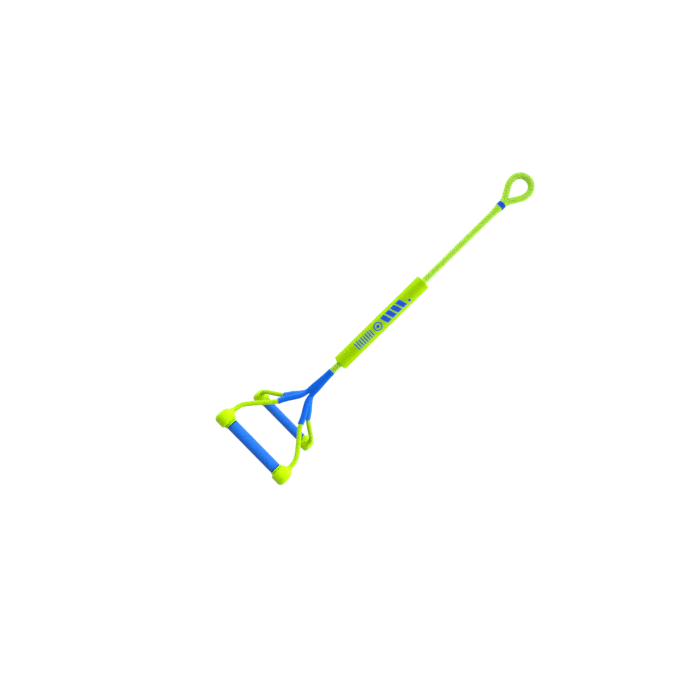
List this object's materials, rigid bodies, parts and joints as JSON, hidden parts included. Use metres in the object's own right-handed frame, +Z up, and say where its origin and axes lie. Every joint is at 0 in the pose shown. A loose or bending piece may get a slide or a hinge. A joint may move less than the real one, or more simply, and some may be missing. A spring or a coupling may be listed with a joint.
{
  "type": "tow rope handle",
  "caption": "Double tow rope handle: two rope-bridled grips on one blue yoke, with a foam float sliding on the tow rope above and a spliced eye at its end.",
  "frame": {"origin": "inside top of the spliced tow eye, where the hook or main line bears", "axes": "+Z up the taut tow rope, X along the two grips, the front handle leans towards -Y and the rear one towards +Y"},
  "size_m": [0.262, 0.3054, 1.1511],
  "materials": {
    "tow_rope": "matte",
    "bridle_rope": "matte",
    "whipping": "matte",
    "sleeve_blue": "satin",
    "grip_blue": "matte",
    "cap_lime": "satin",
    "float_foam": "matte",
    "bar_tube": "satin",
    "bushing": "matte"
  },
  "bodies": {
    "tow_line": {"tow_rope": "tow_rope", "tow_eye": "tow_rope", "eye_whipping": "whipping", "yoke_sleeve": "sleeve_blue", "yoke_core": "bridle_rope"},
    "float": {"float": "float_foam"},
    "front_handle": {"front_bridle_rope": "bridle_rope", "front_grip": "grip_blue", "front_bar_tube": "bar_tube", "front_left_sleeve": "sleeve_blue", "front_left_cap": "cap_lime", "front_left_collar": "cap_lime", "front_left_bushing": "bushing", "front_right_sleeve": "sleeve_blue", "front_right_cap": "cap_lime", "front_right_collar": "cap_lime", "front_right_bushing": "bushing"},
    "rear_handle": {"rear_bridle_rope": "bridle_rope", "rear_grip": "grip_blue", "rear_bar_tube": "bar_tube", "rear_left_sleeve": "sleeve_blue", "rear_left_cap": "cap_lime", "rear_left_collar": "cap_lime", "rear_left_bushing": "bushing", "rear_right_sleeve": "sleeve_blue", "rear_right_cap": "cap_lime", "rear_right_collar": "cap_lime", "rear_right_bushing": "bushing"}
  },
  "joints": [
    {"name": "float_slide", "type": "slide", "parent": "tow_line", "child": "float", "axis": [0, 0, 1], "range_m": [-0.03, 0.285]},
    {"name": "front_handle_swing", "type": "hinge", "parent": "tow_line", "child": "front_handle", "pos_m": [0, -0.0097, -0.9443], "axis": [-1, 0, 0], "range_deg": [-25, 45], "stiffness_Nm_per_rad": 1, "springref_deg": 19.08},
    {"name": "rear_handle_swing", "type": "hinge", "parent": "tow_line", "child": "rear_handle", "pos_m": [0, 0.0097, -0.9443], "axis": [1, 0, 0], "range_deg": [-25, 45], "stiffness_Nm_per_rad": 1, "springref_deg": 19.08}
  ]
}
